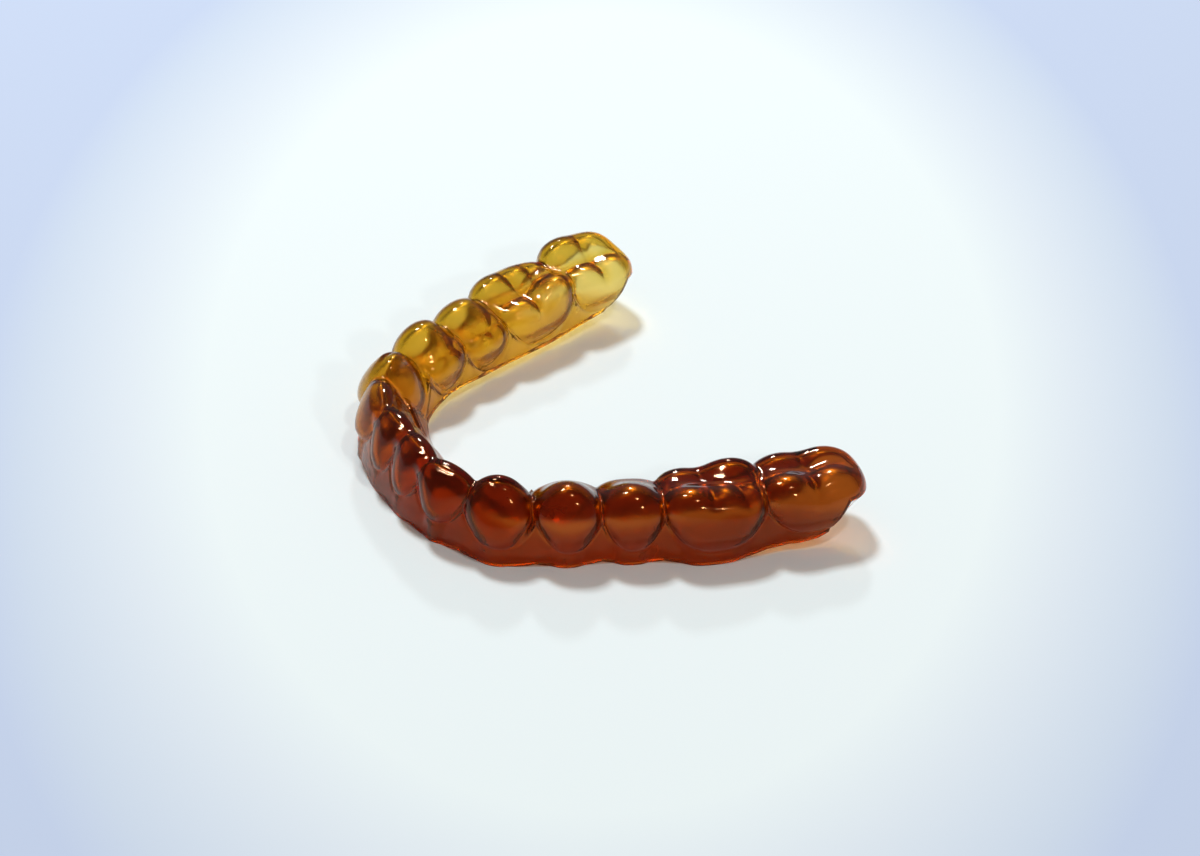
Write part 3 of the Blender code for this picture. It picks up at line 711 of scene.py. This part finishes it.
weights = shell_mesh.attributes.new("bevel_weight_edge", "FLOAT", "EDGE")
ends = np.zeros(2 * len(shell_mesh.edges), int)
shell_mesh.edges.foreach_get("vertices", ends)
pairs = np.sort(ends.reshape(-1, 2), axis=1)
weights.data.foreach_set("value", [1.0 if tuple(pair) in rim else 0.0 for pair in pairs.tolist()])
shell = bpy.data.objects.new("aligner_shell_detailed", shell_mesh)
bpy.context.scene.collection.objects.link(shell)
polish = shell.modifiers.new("polished_rim", "BEVEL")
polish.limit_method = "WEIGHT"
polish.width = EDGE_ROUND
polish.segments = EDGE_SEGMENTS

# %% [markdown]
# ## The resin
#
# Amber aligners and splints are made of a clear methacrylate resin with a little orange dye. It
# bends light as acrylic does, with an index of refraction near 1.5. Its colour isn't on the
# surface: light loses blue first, then green, on its way through the wall. So one wall looks
# golden, and several walls behind each other look orange-brown. Here that is a Volume Absorption
# inside a clear surface, and the number of walls makes the colour, as in the real thing.
#
# The outside was buffed and the inside kept the fine grain of the model it was formed on, so the
# two skins differ in roughness. The mesh carries a value that tells them apart. The base colour
# adds painted shade by place: darker towards the near arm, which gets less light, and darker low
# on the walls, over the floor in shadow under the shell. For rays that lamps send, the surface
# stands aside. A tinted Transparent shader lets a little warm light through to the shadow.

# %% Amber resin: its numbers
RESIN_IOR = 1.50              # cured methacrylate
POLISHED = 0.05               # roughness of the outside, buffed after forming
FROM_THE_MODEL = 0.26         # roughness of the inside, which keeps the grain of the model
ONE_WALL = "#EFDA86"          # what white light looks like behind one wall
DARKEST = 1e-4                # least light in a channel, because none at all has no logarithm
SHADE = "#B4A88C"             # what one skin leaves of a lamp's light
GLOSS = "#F0B47C"             # warm, so that reflections of the pale floor don't grey the amber
# Painted shade: the base colour darkens from the far arm towards the near arm, which gets less
# light.
NEAR_ARM_SHADE = (                       # tint of one skin by place, from the far arm to the near one
    (-0.025, "#FFFFFF"),
    (-0.013, "#FFF2D8"),
    (-0.0085, "#DCA070"),
    (-0.0025, "#D47846"),
    (0.004, "#D6622F"),
    (0.012, "#B65F35"),
    (0.020, "#B65F35"),
    (0.027, "#A65830"),
)
# Painted shade: darker low on the walls, where the floor under the shell lies in shadow.
LOW_WALL_SHADE = ((0.001, "#E6D8C4"), (0.006, "#FFFFFF"))    # tint by height, from the rim to the crowns
RIPPLE_SIZE = 0.0016          # the buffed skin is never quite even
RIPPLE_DEPTH = 0.00003
RIPPLE_DETAIL = 2.0
HAZE_SIZE = 0.0045            # and it is duller where it was handled
HAZE = 0.04                   # roughness added there
HAZE_DETAIL = 3.0


def density_for(code, thickness):
    """Absorption colour and density that give this colour to white light over this thickness."""
    rates = [-math.log(max(c, DARKEST)) / thickness for c in linear(code)[:3]]
    density = max(rates)
    return tuple(1 - rate / density for rate in rates) + (1.0,), density


def ramp_node(tree, value, stops):
    """A colour ramp that reads a value and has its stops at the given places.

    A new ramp has two stops. The others are added in its middle and then moved to their places.
    """
    low, high = stops[0][0], stops[-1][0]
    share = add_node(tree, "ShaderNodeMapRange", {"Value": value}, From_Min=low, From_Max=high)
    ramp = add_node(tree, "ShaderNodeValToRGB", {"Fac": share.outputs["Result"]})
    elements = ramp.color_ramp.elements
    for _ in stops[2:]:
        elements.new(0.5)
    for element, (place, code) in zip(elements, stops):
        element.position = (place - low) / (high - low)
        element.color = linear(code)
    return ramp.outputs["Color"]


print("one wall keeps", [round(c, 2) for c in linear(ONE_WALL)[:3]], "of red, green and blue")

# %% Amber resin: glossy skins around resin that absorbs
resin = bpy.data.materials.new("amber_resin")
resin.use_nodes = True
tree = resin.node_tree
tree.nodes.clear()
output = add_node(tree, "ShaderNodeOutputMaterial")
place = add_node(tree, "ShaderNodeTexCoord")
parts = add_node(tree, "ShaderNodeSeparateXYZ", {"Vector": place.outputs["Object"]})
# Painted shade by place: darker towards the near arm and low on the walls.
near_arm_shade = ramp_node(tree, parts.outputs["X"], NEAR_ARM_SHADE)
# Painted shade by height: the walls darken towards the rim.
low_wall_shade = ramp_node(tree, parts.outputs["Z"], LOW_WALL_SHADE)
tint = add_node(tree, "ShaderNodeVectorMath", {0: near_arm_shade, 1: low_wall_shade}, operation="MULTIPLY")
skin = add_node(tree, "ShaderNodeAttribute", attribute_name="inside")
finish = add_node(tree, "ShaderNodeMapRange", {"Value": skin.outputs["Fac"]},
                  To_Min=POLISHED, To_Max=FROM_THE_MODEL)
haze = add_node(tree, "ShaderNodeTexNoise", {"Vector": place.outputs["Object"]},
                Scale=1 / HAZE_SIZE, Detail=HAZE_DETAIL)
roughness = add_node(tree, "ShaderNodeMath", {0: haze.outputs["Fac"], 2: finish.outputs["Result"]},
                     operation="MULTIPLY_ADD")
roughness.inputs[1].default_value = HAZE
ripple = add_node(tree, "ShaderNodeTexNoise", {"Vector": place.outputs["Object"]},
                  Scale=1 / RIPPLE_SIZE, Detail=RIPPLE_DETAIL)
relief = add_node(tree, "ShaderNodeBump", {"Height": ripple.outputs["Fac"]}, Distance=RIPPLE_DEPTH)
surface = add_node(tree, "ShaderNodeBsdfPrincipled",
                   {"Base Color": tint.outputs["Vector"], "Roughness": roughness.outputs["Value"],
                    "Normal": relief.outputs["Normal"]},
                   Metallic=0.0, IOR=RESIN_IOR, Transmission_Weight=1.0,
                   Specular_Tint=linear(GLOSS))
lamp_ray = add_node(tree, "ShaderNodeLightPath")
stand_aside = add_node(tree, "ShaderNodeBsdfTransparent", Color=linear(SHADE))
mix = add_node(tree, "ShaderNodeMixShader",
               {0: lamp_ray.outputs["Is Shadow Ray"], 1: surface.outputs["BSDF"],
                2: stand_aside.outputs["BSDF"]})
absorb_colour, absorb_density = density_for(ONE_WALL, SHEET)
absorb = add_node(tree, "ShaderNodeVolumeAbsorption", Color=absorb_colour, Density=absorb_density)
tree.links.new(mix.outputs["Shader"], output.inputs["Surface"])
tree.links.new(absorb.outputs["Volume"], output.inputs["Volume"])
print("absorption per metre:", round(absorb_density),
      "colour:", [round(c, 3) for c in absorb_colour])

# %% [markdown]
# ## Floor
#
# The ground in the photograph is a very pale blue white that turns bluer towards the corners.
# Here it is one sheet of matt paper with a painted pool of light: brightest at a point behind the
# shell, and darker and bluer towards the edges. Its colour follows the distance from that point,
# measured on the paper inside an ellipse that is longest along the view.

# %% Pale floor
FLOOR_CENTRE = (-0.0150, 0.0141, 0.0)       # where the paper is brightest
FLOOR_ACROSS = 0.0728                       # half width of the bright patch, as the camera sees it
FLOOR_AWAY = 0.128                          # half depth of it, along the view
# Painted pool of light: the floor's colour is brightest behind the shell and darker and bluer
# towards the edges.
FLOOR_LIGHT_POOL = ((0.646, "#EFF9FB"), (0.769, "#E3EDF6"), (0.923, "#D2DFF0"), (1.0, "#C8D6EF"))
FLOOR_HALF = 1.5                            # half width of the whole sheet
FLOOR_DROP = 0.00002                        # a hair below the rim, so that the two never coincide

corners = [(FLOOR_HALF * x, FLOOR_HALF * y, 0) for x, y in ((-1, -1), (1, -1), (1, 1), (-1, 1))]
floor_mesh = bpy.data.meshes.new("floor")
floor_mesh.from_pydata(corners, [], [(0, 1, 2, 3)])
floor = bpy.data.objects.new("floor", floor_mesh)
bpy.context.scene.collection.objects.link(floor)
floor.location.z = -FLOOR_DROP
paper = bpy.data.materials.new("matt_paper")
paper.use_nodes = True
tree = paper.node_tree
tree.nodes.clear()
point = add_node(tree, "ShaderNodeNewGeometry")
light_pool = add_node(tree, "ShaderNodeMapping", {"Vector": point.outputs["Position"]},
                 vector_type="TEXTURE", Location=FLOOR_CENTRE, Rotation=(0.0, 0.0, AZIMUTH),
                 Scale=(FLOOR_ACROSS, FLOOR_AWAY, 1.0))
away = add_node(tree, "ShaderNodeVectorMath", {0: light_pool.outputs["Vector"]}, operation="LENGTH")
colour = ramp_node(tree, away.outputs["Value"], FLOOR_LIGHT_POOL)
matt = add_node(tree, "ShaderNodeBsdfDiffuse", {"Color": colour})
add_node(tree, "ShaderNodeOutputMaterial", {"Surface": matt.outputs["BSDF"]})
floor_mesh.materials.append(paper)

# %% [markdown]
# ## Light
#
# The shadows are short and fall to the right and towards the viewer, so the main lamp hangs high
# up, behind the shell and to its left. It is small enough for a white spot on each polished cusp.
# A weak world fills the shadows. Three smaller lamps draw the other spots: one low behind the
# shell for the chewing side, and two on the near side for the cheek walls. Together they light
# the floor at a level of about 1, at which a colour renders as it is written.

# %% World and lamps
SKY = "#F4F8FC"
SKY_STRENGTH = 0.18
PURE_WHITE = "#FFFFFF"
WARM_WHITE = "#FFF8EE"
LAMP_DISTANCE = 0.9

world = bpy.data.worlds.new("studio")
world.use_nodes = True
background = world.node_tree.nodes["Background"]
background.inputs["Color"].default_value = linear(SKY)
background.inputs["Strength"].default_value = SKY_STRENGTH
bpy.context.scene.world = world


def add_lamp(name, azimuth, elevation, size, power, colour):
    """A square area lamp that looks at the middle of the shell."""
    data = bpy.data.lights.new(name, "AREA")
    data.size = size
    data.energy = power
    data.color = linear(colour)[:3]
    lamp = bpy.data.objects.new(name, data)
    a, e = math.radians(azimuth), math.radians(elevation)
    towards = Vector((math.sin(a) * math.cos(e), -math.cos(a) * math.cos(e), math.sin(e)))
    turn = towards.to_track_quat("Z", "Y").to_matrix().to_4x4()
    lamp.matrix_world = Matrix.Translation(LAMP_DISTANCE * towards) @ turn
    bpy.context.scene.collection.objects.link(lamp)


add_lamp("main_lamp", azimuth=-92.0, elevation=60.0, size=0.13, power=5.1, colour=PURE_WHITE)
add_lamp("low_lamp", azimuth=-118.0, elevation=34.0, size=0.07, power=1.4, colour=PURE_WHITE)
add_lamp("cheek_lamp_high", azimuth=110.0, elevation=70.0, size=0.07, power=1.2, colour=WARM_WHITE)
add_lamp("cheek_lamp_low", azimuth=95.0, elevation=36.0, size=0.06, power=0.8, colour=WARM_WHITE)

# %% The shell gets its resin and takes the CAD node's place
shell.data.materials.append(resin)
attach(shell, "root")
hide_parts("aligner_shell")
print("the detailed shell stands for the CAD node")

# %% [markdown]
# ## View transform
#
# The picture is shown with the Standard view transform.

# %% View transform
bpy.context.scene.view_settings.view_transform = "Standard"
